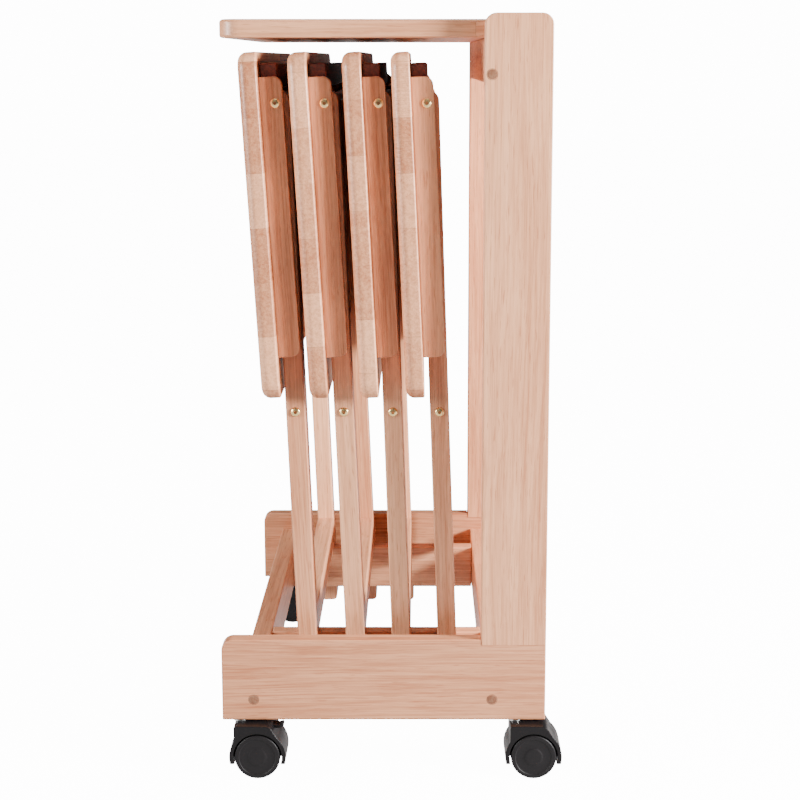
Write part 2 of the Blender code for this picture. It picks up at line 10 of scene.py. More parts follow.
import bmesh
import bpy
import numpy as np
from bpy.props import FloatProperty, FloatVectorProperty, PointerProperty
from bpy.types import Operator, Panel, PropertyGroup
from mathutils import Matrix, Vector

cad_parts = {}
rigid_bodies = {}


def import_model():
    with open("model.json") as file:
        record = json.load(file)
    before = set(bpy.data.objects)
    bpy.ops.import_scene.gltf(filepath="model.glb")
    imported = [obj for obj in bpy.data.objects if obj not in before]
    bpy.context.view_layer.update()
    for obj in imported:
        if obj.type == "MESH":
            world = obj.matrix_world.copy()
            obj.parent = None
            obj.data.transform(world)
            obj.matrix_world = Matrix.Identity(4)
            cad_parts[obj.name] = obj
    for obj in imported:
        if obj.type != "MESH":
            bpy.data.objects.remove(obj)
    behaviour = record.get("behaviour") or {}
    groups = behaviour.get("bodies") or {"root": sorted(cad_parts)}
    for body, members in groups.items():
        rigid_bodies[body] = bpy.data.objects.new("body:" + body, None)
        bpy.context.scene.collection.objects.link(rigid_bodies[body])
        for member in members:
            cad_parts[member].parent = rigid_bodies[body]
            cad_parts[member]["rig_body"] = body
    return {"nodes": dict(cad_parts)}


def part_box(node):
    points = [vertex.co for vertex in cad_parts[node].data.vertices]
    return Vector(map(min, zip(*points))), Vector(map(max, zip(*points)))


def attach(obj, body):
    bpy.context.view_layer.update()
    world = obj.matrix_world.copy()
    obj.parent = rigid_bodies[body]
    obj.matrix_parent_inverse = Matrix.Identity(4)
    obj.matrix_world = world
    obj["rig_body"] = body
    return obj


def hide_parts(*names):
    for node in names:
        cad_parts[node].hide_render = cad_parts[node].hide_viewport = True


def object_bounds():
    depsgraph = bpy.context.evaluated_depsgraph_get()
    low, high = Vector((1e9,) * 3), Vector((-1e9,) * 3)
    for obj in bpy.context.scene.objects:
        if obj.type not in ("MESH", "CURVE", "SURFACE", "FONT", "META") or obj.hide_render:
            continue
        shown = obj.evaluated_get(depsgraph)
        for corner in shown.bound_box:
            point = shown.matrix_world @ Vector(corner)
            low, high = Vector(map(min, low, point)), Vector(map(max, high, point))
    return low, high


bl_info = {
    "name": "Tray Table Stand",
    "version": (1, 0, 0),
    "blender": (4, 5, 0),
    "location": "View3D > Sidebar > Tray Stand",
    "description": "Builds a rolling wooden stand with folding tray tables",
    "category": "Object",
}

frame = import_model()
CAD_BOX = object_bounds()
NODES = frame["nodes"]
RNG = np.random.default_rng(20)

TRAY_NAMES = ("tray_1", "tray_2", "tray_3", "tray_4")
SIDES = (("right", -1.0), ("left", 1.0))
X_AXIS, Y_AXIS, Z_AXIS = np.eye(3)
SIDE_VIEW = (X_AXIS, Z_AXIS, -Y_AXIS)

SUPPORT = 0.0004  # width of the narrow strip that keeps flat faces flat beside a round edge
ARC_STEPS, FINE_STEPS = 6, 8  # facets in a quarter round, and in a large one
SMALL_STEPS, COARSE_STEPS = 3, 2  # facets in a small one, and in one that is hardly seen
ROUND_SIDES, WHEEL_SIDES, PLUG_SIDES, RUNG_SIDES = 48, 72, 40, 32  # facets round turned pieces
SHARP_ANGLE = 40  # degrees between faces from which an edge stays crisp
SHARPEST = 0.4  # limits how far a sharp corner moves in
ON_LINE = 1e-5  # how close to a line a point counts as on it
TOUCH = 0.0003  # gap between pieces that touch

BOARD_CORNER = 1.15  # a plain board's corner rounds, as a share of its edges' rounds
RAIL_CORNER = 0.0015
FRAME_NOSE = 0.012  # rounds at the front of the side rails and on top of the posts
TOP_FRONT_CORNER, TOP_BACK_CORNER = 0.022, 0.004
TOP_LOW_EASE, TOP_HIGH_EASE = 0.003, 0.004
PANEL_CORNER, PANEL_FACE_EASE, PANEL_UNDER_EASE = 0.018, 0.0095, 0.002
CLEAT_CORNER, CLEAT_SEAT_CORNER = 0.009, 0.001  # away from the panel, and at it
CLEAT_EASE, BATTEN_EASE, CATCH_EASE = 0.0009, 0.0015, 0.0004
CATCH_DEPTH, CATCH_HEIGHT, CATCH_WIDTH = 0.010, 0.040, 0.024
CATCH_NOTCH, CATCH_ASIDE = 0.0064, 0.148  # the notch's radius, distance from the panel's middle
PANEL_TO_HINGE, LEG_TO_HINGE = 0.0546, 0.0125  # down from their upper ends
CLEAT_TO_HINGE, HINGE_INSET = 0.028, 0.0079  # down from the end, in from the free edge
HINGE_TO_CATCH, HINGE_TO_CROSSING = 0.262, 0.336
FOOT_ROUND, LEG_END_POINTS, RUNG_RADIUS = 0.005, 21, 0.006

DOME_TURN, DOME_POINTS = 1.22, 9  # angle of its ellipse that a bolt head's dome runs through
HEAD_SUNK, HEAD_GAP = 0.0004, 0.0001  # the rim below the dome, the dome above the wood
LIP, SOCKET_LEVELS = 0.97, (0.94, -0.1)  # heights as shares of the head's
SOCKET_SHARE = 0.98  # size of the hexagon in the socket's rim
PLUG_LIP, PLUG_CROWN = 0.0005, 0.0004
PLUG_GROOVE = 1.6  # inner edge of the plug's groove, in lips from its rim
PLUG_ASIDE = 0.002  # from the middle of a cross member to the plug over its screw
PLUG_PLACES = (  # name, cross member, what holds it, plug's height over the member's base
    ("front", "front_crossbar", "side_rail_", 0.0085),
    ("back", "back_crossbar", "side_rail_", 0.0085),
    ("top", "top_apron", "post_", 0.009),
)

WHEEL_INNER, AXLE_RADIUS = 0.0035, 0.003  # a wheel's inner face from the caster's middle
TREAD_INNER_ROUND, TREAD_OUTER_ROUND = 0.003, 0.002
WHEEL_RIM = ((0.0045, 0), (0.0052, 0.0006), (0.0060, 0.0008))  # distance from the tread, depth
WHEEL_HUB = ((0.0105, 0.0008), (0.0098, 0.0006), (0.0092, 0.0002), (0.0080, 0.0001),
             (0.0010, 0.0001))  # radius, depth
HOOD_TIP, HOOD_NOSE = -0.008, 0.0058  # its lower ends from the axle, its front from the stem
HOOD_SHOULDER = np.radians(46)  # angle where the hood's back leaves its circle
CROWN_BACK, CROWN_FALL, CROWN_ROUND, BROW_ROUND = 0.0135, 0.0005, 0.009, 0.003
BOSS_RADIUS, BOSS_ANGLES = 0.0095, (np.pi * 1.12, np.pi * 1.88)
SHOULDER_POINTS, CHEEK_POINTS, ARCH_POINTS, BOSS_POINTS, LEVER_POINTS = 15, 11, 41, 9, 9
WEB_INSET, WEB_RISE, WEB_HALF, WEB_EASE = 0.002, 0.0005, 0.0025, 0.0004
BAND_FROM_MIDDLE, BAND_EASE = 0.0022, 0.0007
LEVER_START, LEVER_LENGTH, LEVER_DROP = 0.0140, 0.0135, 0.0052
LEVER_FALL, LEVER_CURL, LEVER_TAPER = 0.0040, 0.0046, 0.25
LEVER_HALF_THICK, LEVER_HALF_WIDE, LEVER_EASE = 0.0017, 0.0065, 0.0006

RAIL_TONE, POST_TONE, TOP_TONE = 0.9, -0.3, 0.1  # from -1, a pale board, to 1, a dark one
# painted shade and light: the cleats of the first three trays are made darker, as if in the shade
# of the next panel, and the last tray's cleat lighter, as if lit from the side
CLEAT_SHADED_TONE, LAST_CLEAT_LIT_TONE = 0.9, -0.8
TIMBER_NOISE = {  # waves a metre along each axis, detail, roughness, place
    "fibre": ((900, 900, 24), 3.0, 0.6),
    "streak": ((330, 330, 6.5), 3.0, 0.6, (3, 7, 1)),
    "drift": ((16, 16, 1.0), 1.0, 0.5, (11, 2, 5)),
    "pore": ((760, 760, 46), 1.0, 0.5, (5, 1, 9)),
    "cloud": ((11, 11, 3.0), 1.0, 0.5, (2, 8, 4)),
}
SWAY_WAVES, SWAY_SIZE = (9, 9, 2.2), (0.022, 0.022, 0)
GROWTH_BANDS = 16.0  # bands to the drift's whole range
STREAK_SHARE, FIBRE_SHARE, BAND_SHARE, CLOUD_SHARE = 0.46, 0.26, 0.20, 0.8
STREAK_RANGE, FIBRE_RANGE, PORE_RANGE = (0.34, 0.68), (0.38, 0.64), (0.62, 0.72)
PLAIN_ROUGH, FIBRE_ROUGH, PORE_ROUGH = 0.34, 0.16, 0.15
FIBRE_LIFT, PORE_LIFT = 0.35, -0.7  # relief in the grain
TONE_SHARE, BOARD_TONE_SHARE = 0.19, 0.4
MIDDLE, FIGURE = 0.27, 0.70  # share of the dark colour in plain wood, strength of the grain
PORE_SHARE, GLUE_SHARE, GLUE_DARK = 0.5, 0.45, 0.55
FINGER, FINGER_SLOPE = 0.0022, 2.6  # half pitch and slope of the finger joints
ROW_START, STAVE_TONE = 5.0, 1.9  # largest shift of a row, in staves; largest tone
STAVE_SHIFT = (4, 4, 4)  # how far apart the staves lie in the wood that they are cut from
GLUE_LINE, END_LINE = 0.00022, 0.0003  # half widths of the joints along and across the grain
SOFT_SPECKLE = 0.05  # waves of the soft cloud to one of the fine one

FLOOR_REACH, FLOOR_ROUGHNESS = 14.0, 0.75
FLOOR_GLOW, WORLD_GLOW = 13.8, 14.0  # how bright they look to the camera
MIRRORED_GLOW, WORLD_LIGHT = 0.05, 0.14  # share seen in reflections, light from all round
SENSOR_WIDTH, CAMERA_SHIFT = 36.0, (-0.0225, -0.103)  # millimetres, shares of the width


# ---------- settings
COLOUR = {"subtype": "COLOR", "size": 4, "min": 0, "max": 1}


class TRAYSTAND_PG_wood(PropertyGroup):
    light: FloatVectorProperty(
        name="Light wood", description="Colour of the pale part of the grain", **COLOUR,
        default=(0.90, 0.445, 0.240, 1))
    dark: FloatVectorProperty(
        name="Dark wood", description="Colour of the streaks and growth bands", **COLOUR,
        default=(0.41, 0.130, 0.052, 1))
    # the two colours of the much darker wood given to the end battens and catch blocks
    batten_light: FloatVectorProperty(
        name="Batten wood, light", description="Pale part of the dark wood of the battens and catch blocks", **COLOUR,
        default=(0.25, 0.062, 0.036, 1))
    batten_dark: FloatVectorProperty(
        name="Batten wood, dark", description="Streaks of the dark wood of the battens and catch blocks", **COLOUR,
        default=(0.07, 0.016, 0.010, 1))
    edge: FloatProperty(
        name="Edge round", description="Radius that the sanded edges are eased to", unit="LENGTH",
        default=0.0014, min=0.0002, max=0.006)
    stave: FloatProperty(
        name="Stave width", description="Width of the staves that the panels are glued from",
        unit="LENGTH", default=0.058, min=0.01, max=0.3)
    stave_run: FloatProperty(
        name="Stave length", description="Length between the finger joints", unit="LENGTH",
        default=0.31, min=0.05, max=1.0)


class TRAYSTAND_PG_fixings(PropertyGroup):
    brass: FloatVectorProperty(
        name="Brass", description="Colour of the bolts", **COLOUR, default=(0.80, 0.58, 0.27, 1))
    zinc: FloatVectorProperty(
        name="Zinc", description="Colour of the caster stems", **COLOUR,
        default=(0.66, 0.66, 0.64, 1))
    head_radius: FloatProperty(
        name="Bolt head radius", description="Radius of the domed bolt heads", unit="LENGTH",
        default=0.0053, min=0.001, max=0.02)
    head_height: FloatProperty(
        name="Bolt head height", description="Height of the domed bolt heads", unit="LENGTH",
        default=0.0026, min=0.0005, max=0.01)
    socket_radius: FloatProperty(
        name="Socket radius", description="Radius of the key socket in a bolt head", unit="LENGTH",
        default=0.0021, min=0.0005, max=0.01)
    plug_radius: FloatProperty(
        name="Plug radius", description="Radius of the wood plugs over the screws", unit="LENGTH",
        default=0.006, min=0.001, max=0.02)


class TRAYSTAND_PG_casters(PropertyGroup):
    black: FloatVectorProperty(
        name="Black", description="Colour of the moulded plastic", **COLOUR,
        default=(0.0060, 0.0050, 0.0055, 1))
    band: FloatProperty(
        name="Hood wall", description="Thickness of the hood round the wheels", unit="LENGTH",
        default=0.0045, min=0.001, max=0.01)
    rim_gap: FloatProperty(
        name="Rim gap", description="Gap between wheel and hood", unit="LENGTH",
        default=0.0016, min=0.0003, max=0.005)


class TRAYSTAND_PG_stage(PropertyGroup):
    floor: FloatVectorProperty(
        name="Floor", description="Colour of the floor", **COLOUR, default=(0.29, 0.29, 0.29, 1))
    eye_distance: FloatProperty(
        name="Eye distance", description="From the camera to the near side of the stand",
        unit="LENGTH", default=1.65, min=0.2)
    eye_height: FloatProperty(
        name="Eye height", description="Camera height above the floor", unit="LENGTH",
        default=0.780, min=0)
    eye_aside: FloatProperty(
        name="Eye aside", description="Camera place along the stand", unit="LENGTH",
        default=0.0286)
    pitch: FloatProperty(
        name="Pitch", description="How far the camera looks down", subtype="ANGLE",
        default=float(np.radians(9.24)))
    lens: FloatProperty(
        name="Lens", description="Focal length", default=71.3, min=10, max=300)


# ---------- shapes
def corner_arcs(corners, steps=ARC_STEPS):
    """An outline (P, 2) from corners (x, y, radius), given anticlockwise.

    Each corner becomes an arc that touches both its sides, at the distance radius / tan(half the
    corner's angle) from the corner, with one more point just outside each end of the arc.
    """
    points = []
    places = np.array([corner[:2] for corner in corners], float)
    for index, (x, y, radius) in enumerate(corners):
        here = places[index]
        if radius <= 0:
            points.append(here[None])
            continue
        before = places[index - 1] - here
        after = places[(index + 1) % len(places)] - here
        before /= np.linalg.norm(before)
        after /= np.linalg.norm(after)
        half = np.arccos(np.clip(before @ after, -1, 1)) / 2
        reach = radius / np.tan(half)
        start, end = here + before * reach, here + after * reach
        middle = here + (before + after) / np.linalg.norm(before + after) * radius / np.sin(half)
        first = np.arctan2(*(start - middle)[::-1])
        turn = np.arctan2(*(end - middle)[::-1]) - first
        turn = (turn + np.pi) % (2 * np.pi) - np.pi
        angles = first + turn * np.linspace(0, 1, steps + 1)
        arc = middle + radius * np.stack([np.cos(angles), np.sin(angles)], 1)
        points.append(np.concatenate([[start + before * SUPPORT], arc, [end + after * SUPPORT]]))
    return np.concatenate(points)


def rectangle(x, y, radii, steps=ARC_STEPS):
    """A rectangle's outline from half sizes and corner radii, the lower left one first."""
    return corner_arcs(list(zip((-x, x, x, -x), (-y, -y, y, y), radii)), steps)


def arc_of(radius, first, last, points):
    """Points (P, 2) on a circle round the origin from one angle to another."""
    angles = np.linspace(first, last, points)
    return np.stack([radius * np.cos(angles), radius * np.sin(angles)], 1)


def inward(outline, straight=()):
    """For each point of an anticlockwise outline, the way that moves both its sides in by one.

    Points on a straight line, given as (axis, place), only move along that line.
    """
    ahead = np.roll(outline, -1, 0) - outline
    ahead /= np.linalg.norm(ahead, axis=1, keepdims=True)
    sides = np.stack([-ahead[:, 1], ahead[:, 0]], 1)
    both = sides + np.roll(sides, 1, 0)
    both /= np.linalg.norm(both, axis=1, keepdims=True)
    ways = both / np.maximum((both * sides).sum(1, keepdims=True), SHARPEST)
    for axis, place in straight:
        ways[np.abs(outline[:, axis] - place) < ON_LINE, axis] = 0
    return ways


def eased_plate(outline, half, low_ease, high_ease, steps=ARC_STEPS, straight=()):
    """Rings (R, P, 3) of a board as thick as two halves, its low and high rims rounded.

    The outline is carried through the thickness. At an angle t of a rim's quarter round it is
    moved in by ease * (1 - sin t) and stands ease * (1 - cos t) from the wall's end. Narrow strips
    beside each round keep the wall and both faces flat.
    """
    t = np.linspace(0, np.pi / 2, steps + 1)

    def rim(ease):
        inset = np.concatenate([[ease + SUPPORT], ease * (1 - np.sin(t)), [0.0]])
        depth = np.concatenate([[0.0], ease * (1 - np.cos(t)), [ease + SUPPORT]])
        return inset, depth

    low_inset, low_depth = rim(low_ease)
    high_inset, high_depth = rim(high_ease)
    inset = np.concatenate([low_inset, high_inset[::-1]])
    height = np.concatenate([low_depth - half, (half - high_depth)[::-1]])
    plan = outline[None] + inward(outline, straight)[None] * inset[:, None, None]
    level = np.broadcast_to(height[:, None, None], (*plan.shape[:2], 1))
    return np.concatenate([plan, level], 2)


def turned(profile, sides=ROUND_SIDES):
    """Rings (R, sides, 3) of a profile (radius, height) turned once round its own third axis."""
    profile = np.array(profile, float)
    angles = np.linspace(0, 2 * np.pi, sides, endpoint=False)
    around = np.stack([np.cos(angles), np.sin(angles)], 1)
    plan = profile[:, None, :1] * around[None]
    level = np.broadcast_to(profile[:, None, 1:], (*plan.shape[:2], 1))
    return np.concatenate([plan, level], 2)


def skin(rings):
    """Points and faces of rings joined one to the next, with a flat face on the first and last."""
    count, around = rings.shape[:2]
    index = np.arange(count * around).reshape(count, around)
    after = np.roll(index, -1, 1)
    quads = np.stack([index[:-1], after[:-1], after[1:], index[1:]], -1).reshape(-1, 4)
    faces = quads.tolist() + [index[0, ::-1].tolist(), index[-1].tolist()]
    return rings.reshape(-1, 3), faces


def solid(name, shapes, axes, centre, grain_axis=1, tone=None):
    """One object of several skins, put along axes (rows: where local x, y and z go) at centre.

    The attribute "grain" holds each point's own place through the board, across it and along its
    grain, moved by a random amount so that no two boards look alike. "tone" makes a whole board
    lighter or darker.
    """
    points, faces, start = [], [], 0
    for rings in shapes:
        own, own_faces = skin(rings)
        points.append(own)
        faces += [[i + start for i in face] for face in own_faces]
        start += len(own)
    local = np.concatenate(points)
    world = local @ np.array(axes, float) + np.array(centre, float)
    mesh = bpy.data.meshes.new(name)
    mesh.from_pydata(world.tolist(), [], faces)
    grid = bmesh.new()
    grid.from_mesh(mesh)
    bmesh.ops.recalc_face_normals(grid, faces=grid.faces)
    grid.to_mesh(mesh)
    grid.free()
    order = [axis for axis in (2, 1, 0) if axis != grain_axis] + [grain_axis]
    grain = local[:, order] + RNG.uniform(1, 9, 3)
    tones = np.full(len(grain), RNG.uniform(-1, 1) if tone is None else tone)
    for label, kind, key, values in (("grain", "FLOAT_VECTOR", "vector", grain),
                                     ("tone", "FLOAT", "value", tones)):
        stored = mesh.attributes.new(label, kind, "POINT")
        stored.data.foreach_set(key, values.astype(np.float32).ravel())
    mesh.shade_smooth()
    mesh.set_sharp_from_angle(angle=float(np.radians(SHARP_ANGLE)))
    made = bpy.data.objects.new(name, mesh)
    bpy.context.scene.collection.objects.link(made)
    return made


def corners_of(node):
    co = np.empty(len(NODES[node].data.vertices) * 3, np.float32)
    NODES[node].data.vertices.foreach_get("co", co)
    return co.reshape(-1, 3).astype(float)


def lean_of(node):
    """The upward length direction of a leaning node, and the direction across it towards +X."""
    side_view = corners_of(node)[:, [0, 2]]
    spread = np.linalg.svd(side_view - side_view.mean(0), full_matrices=False)[2][0]
    spread *= np.sign(spread[1])
    up = np.array([spread[0], 0, spread[1]])
    return up, np.array([up[2], 0, -up[0]])


def seat_of(node, axes):
    """Middle and half sizes of a node measured along three directions."""
    along = corners_of(node) @ np.array(axes).T
    low, high = along.min(0), along.max(0)
    return (low + high) / 2 @ np.array(axes), (high - low) / 2


def add_piece(name, shapes, axes, centre, node, look, grain_axis=1, tone=None):
    """A finished solid with its slot, which moves with the body that a node is on."""
    piece = solid(name, shapes, axes, centre, grain_axis, tone)
    piece.data.materials.append(finish(look))
    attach(piece, NODES[node]["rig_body"])
    return piece


def wooden(node, rings, axes, centre, look, grain_axis=1, tone=None):
    """A wooden piece in a node's place."""
    piece = add_piece(node + "_wood", [rings], axes, centre, node, look, grain_axis, tone)
    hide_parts(node)


def board(node, axes, ease, look="straight_wood"):
    """A plain board in a node's place, a rounded rectangle with its grain along the first axis."""
    centre, half = seat_of(node, axes)
    outline = rectangle(*half[:2], (ease * BOARD_CORNER,) * 4)
    rings = eased_plate(outline, half[2], ease, ease)
    wooden(node, rings, axes, centre, look, 0)


# ---------- materials
def add_node(tree, kind, inputs, **settings):
    """A shader node with its settings, and its inputs linked to sockets or set to values."""
    node = tree.nodes.new("ShaderNode" + kind)
    for label, value in settings.items():
        setattr(node, label, value)
    for key, value in inputs.items():
        if hasattr(value, "is_linked"):
            tree.links.new(value, node.inputs[key])
        else:
            node.inputs[key].default_value = value
    return node


def math_node(tree, operation, *values, clamp=False):
    inputs = dict(enumerate(values))
    return add_node(tree, "Math", inputs, operation=operation, use_clamp=clamp).outputs[0]


def noise(tree, vector, scale, detail, rough=0.5, offset=(0, 0, 0)):
    """Noise stretched by a scale for each axis, as waves per metre."""
    inputs = {"Vector": vector, "Scale": scale, "Location": offset}
    place = add_node(tree, "Mapping", inputs).outputs[0]
    inputs = {"Vector": place, "Scale": 1.0, "Detail": detail, "Roughness": rough}
    return add_node(tree, "TexNoise", inputs).outputs


def ramp(tree, value, low, high):
    """Smooth steps from 0 at low to 1 at high."""
    inputs = {"Value": value, "From Min": low, "From Max": high}
    return add_node(tree, "MapRange", inputs, interpolation_type="SMOOTHSTEP").outputs[0]


def mix_colour(tree, factor, first, second):
    return add_node(tree, "Mix", {0: factor, 6: first, 7: second}, data_type="RGBA").outputs[2]


def shift_place(tree, place, colour, size):
    """A place moved along each axis by a colour's share of a size."""
    inputs = {0: colour, 1: size, 2: place}
    return add_node(tree, "VectorMath", inputs, operation="MULTIPLY_ADD").outputs[0]


def group_of(name, inputs, outputs):
    """A new shader group, its input sockets, and its output sockets to link to."""
    tree = bpy.data.node_groups.new(name, "ShaderNodeTree")
    for way, sockets in (("INPUT", inputs), ("OUTPUT", outputs)):
        for label, kind in sockets.items():
            tree.interface.new_socket(label, in_out=way, socket_type="NodeSocket" + kind)
    given = tree.nodes.new("NodeGroupInput").outputs
    return tree, given, tree.nodes.new("NodeGroupOutput").inputs


def timber_group():
    """Swaying grain: fine fibres, long streaks, growth bands and short dark pores.

    The place comes in metres with the grain along Z. Tone moves the whole board between the two
    colours.
    """
    tree, given, result = group_of(
        "timber",
        {"Place": "Vector", "Tone": "Float", "Light": "Color", "Dark": "Color", "Figure": "Float"},
        {"Color": "Color", "Roughness": "Float", "Height": "Float"})
    sway = noise(tree, given["Place"], SWAY_WAVES, 1.0)["Color"]
    place = shift_place(tree, given["Place"], sway, SWAY_SIZE)
    field = {label: noise(tree, place, *kind)["Fac"] for label, kind in TIMBER_NOISE.items()}
    bands = math_node(tree, "MULTIPLY", field["drift"], GROWTH_BANDS)
    bands = math_node(tree, "PINGPONG", bands, 1.0)
    pores = ramp(tree, field["pore"], *PORE_RANGE)
    cloud = math_node(tree, "SUBTRACT", field["cloud"], 0.5)

    def add(value, share, base):
        return math_node(tree, "MULTIPLY_ADD", value, share, base)

    amount = add(ramp(tree, field["streak"], *STREAK_RANGE), STREAK_SHARE, -STREAK_SHARE / 2)
    amount = add(ramp(tree, field["fibre"], *FIBRE_RANGE), FIBRE_SHARE, amount)
    amount = add(cloud, CLOUD_SHARE, add(bands, BAND_SHARE, amount))
    amount = math_node(tree, "MULTIPLY", amount, given["Figure"])
    amount = add(given["Tone"], TONE_SHARE, amount)
    amount = math_node(tree, "ADD", amount, MIDDLE, clamp=True)
    colour = mix_colour(tree, amount, given["Light"], given["Dark"])
    pitted = math_node(tree, "MULTIPLY", pores, PORE_SHARE)
    colour = mix_colour(tree, pitted, colour, given["Dark"])
    tree.links.new(colour, result["Color"])
    rough = add(pores, PORE_ROUGH, add(field["fibre"], FIBRE_ROUGH, PLAIN_ROUGH))
    tree.links.new(rough, result["Roughness"])
    lift = math_node(tree, "MULTIPLY", field["fibre"], FIBRE_LIFT)
    tree.links.new(add(pores, PORE_LIFT, lift), result["Height"])
    return tree


def stave_group():
    """Boards glued from staves: each stave has its own tone and its own piece of grain.

    Across the grain the place is cut into rows as wide as a stave. Along the grain each row is cut
    into lengths from a random start, and the cut zigzags across the row as a finger joint does.
    """
    tree, given, result = group_of(
        "glued_staves",
        {"Place": "Vector", "Width": "Float", "Run": "Float"},
        {"Place": "Vector", "Tone": "Float", "Joint": "Float"})
    split = add_node(tree, "SeparateXYZ", {0: given["Place"]}).outputs
    across = math_node(tree, "DIVIDE", split["Y"], given["Width"])
    row = math_node(tree, "FLOOR", across)
    start = add_node(tree, "TexWhiteNoise", {"W": row}, noise_dimensions="1D").outputs["Value"]
    zigzag = math_node(tree, "PINGPONG", split["Y"], FINGER)
    along = math_node(tree, "MULTIPLY_ADD", zigzag, FINGER_SLOPE, split["Z"])
    along = math_node(tree, "DIVIDE", along, given["Run"])
    along = math_node(tree, "MULTIPLY_ADD", start, ROW_START, along)
    cell = math_node(tree, "FLOOR", along)
    pair = add_node(tree, "CombineXYZ", {"X": row, "Y": cell}).outputs[0]
    dice = add_node(tree, "TexWhiteNoise", {"Vector": pair}, noise_dimensions="2D").outputs
    place = shift_place(tree, given["Place"], dice["Color"], STAVE_SHIFT)
    tree.links.new(place, result["Place"])
    tone = math_node(tree, "MULTIPLY_ADD", dice["Value"], 2 * STAVE_TONE, -STAVE_TONE)
    tree.links.new(tone, result["Tone"])

    def near_edge(cells, size, width):
        share = math_node(tree, "PINGPONG", math_node(tree, "FRACT", cells), 0.5)
        return math_node(tree, "LESS_THAN", math_node(tree, "MULTIPLY", share, size), width)

    rows = near_edge(across, given["Width"], GLUE_LINE)
    ends = near_edge(along, given["Run"], END_LINE)
    tree.links.new(math_node(tree, "MAXIMUM", rows, ends), result["Joint"])
    return tree


def speckle_group():
    """Fine uneven gloss for moulded and plated parts: a soft cloud with small pits in it."""
    tree, given, result = group_of(
        "fine_speckle",
        {"Place": "Vector", "Base": "Float", "Spread": "Float", "Grain": "Float"},
        {"Roughness": "Float", "Height": "Float"})
    inputs = {0: given["Place"], "Scale": given["Grain"]}
    place = add_node(tree, "VectorMath", inputs, operation="SCALE").outputs[0]
    fine = noise(tree, place, (1, 1, 1), 2.0)["Fac"]
    soft = noise(tree, place, (SOFT_SPECKLE,) * 3, 1.0)["Fac"]
    both = math_node(tree, "SUBTRACT", math_node(tree, "ADD", fine, soft), 1.0)
    rough = math_node(tree, "MULTIPLY_ADD", both, given["Spread"], given["Base"])
    tree.links.new(rough, result["Roughness"])
    tree.links.new(fine, result["Height"])
    return tree


def new_material(name):
    material = bpy.data.materials.new(name)
    material.use_nodes = True
    return material, material.node_tree, material.node_tree.nodes["Principled BSDF"]


def place_group(tree, group, **inputs):
    return add_node(tree, "Group", inputs, node_tree=group)


def bump(tree, shader, height, strength, distance):
    inputs = {"Strength": strength, "Distance": distance, "Height": height}
    tree.links.new(add_node(tree, "Bump", inputs).outputs[0], shader.inputs["Normal"])


def shade(colour, share):
    """A colour made darker or lighter by a share."""
    return tuple(share * part for part in colour[:3]) + (1.0,)


def wood_material(name, group, light, dark, staves=None, width=0.0, run=0.0, figure=1.0):
    """Lacquered wood on the attribute "grain", glued from staves where a stave group is given."""
    _, tree, shader = new_material(name)
    place = add_node(tree, "Attribute", {}, attribute_name="grain").outputs["Vector"]
    tone = add_node(tree, "Attribute", {}, attribute_name="tone").outputs["Fac"]
    if staves:
        glued = place_group(tree, staves, Place=place, Width=width, Run=run).outputs
        place = glued["Place"]
        tone = math_node(tree, "MULTIPLY_ADD", tone, BOARD_TONE_SHARE, glued["Tone"])
    timber = place_group(tree, group, Place=place, Tone=tone, Light=light, Dark=dark,
                         Figure=figure).outputs
    colour = timber["Color"]
    if staves:
        line = math_node(tree, "MULTIPLY", glued["Joint"], GLUE_SHARE)
        colour = mix_colour(tree, line, colour, shade(dark, GLUE_DARK))
    tree.links.new(colour, shader.inputs["Base Color"])
    tree.links.new(timber["Roughness"], shader.inputs["Roughness"])
    shader.inputs["Coat Weight"].default_value = 0.22
    shader.inputs["Coat Roughness"].default_value = 0.24
    shader.inputs["Specular IOR Level"].default_value = 0.42
    bump(tree, shader, timber["Height"], 0.22, 0.00025)


def moulded_material(name, group, colour, base, spread, grain, metallic, strength, gloss=0.5):
    """Plastic or metal with a fine uneven gloss on the object's own coordinates."""
    _, tree, shader = new_material(name)
    coords = tree.nodes.new("ShaderNodeTexCoord").outputs["Object"]
    speckle = place_group(tree, group, Place=coords, Base=base, Spread=spread, Grain=grain).outputs
    shader.inputs["Base Color"].default_value = colour
    shader.inputs["Metallic"].default_value = metallic
    shader.inputs["Specular IOR Level"].default_value = gloss
    tree.links.new(speckle["Roughness"], shader.inputs["Roughness"])
    bump(tree, shader, speckle["Height"], strength, 0.0002)


def finish(name):
    """The named material, with every finish made the first time that one is asked for."""
    if "straight_wood" not in bpy.data.materials:
        wood = bpy.context.scene.tray_stand_wood
        fixings = bpy.context.scene.tray_stand_fixings
        black = tuple(bpy.context.scene.tray_stand_casters.black)
        light, dark = tuple(wood.light), tuple(wood.dark)
        timber, staves, speckle = timber_group(), stave_group(), speckle_group()
        wood_material("straight_wood", timber, light, dark, figure=FIGURE)
        wood_material("glued_wood", timber, light, dark, staves, wood.stave, wood.stave_run,
                      FIGURE)
        wood_material("plug_wood", timber, shade(light, 0.31), shade(dark, 0.42))
        # the end battens and catch blocks get a much darker wood than the rest
        wood_material("dark_batten_wood", timber, tuple(wood.batten_light), tuple(wood.batten_dark))
        moulded = (  # name, colour, base, spread, grain, metallic, bump strength, gloss
            ("bolt_brass", tuple(fixings.brass), 0.27, 0.16, 1500.0, 1.0, 0.06),
            ("zinc_plate", tuple(fixings.zinc), 0.30, 0.2, 1200.0, 1.0, 0.08),
            ("hood_plastic", black, 0.36, 0.14, 1400.0, 0.0, 0.10, 0.2),
            ("wheel_plastic", shade(black, 1.25), 0.46, 0.16, 2200.0, 0.0, 0.2, 0.22))
        for made, *look in moulded:
            moulded_material(made, speckle, *look)
    return bpy.data.materials[name]


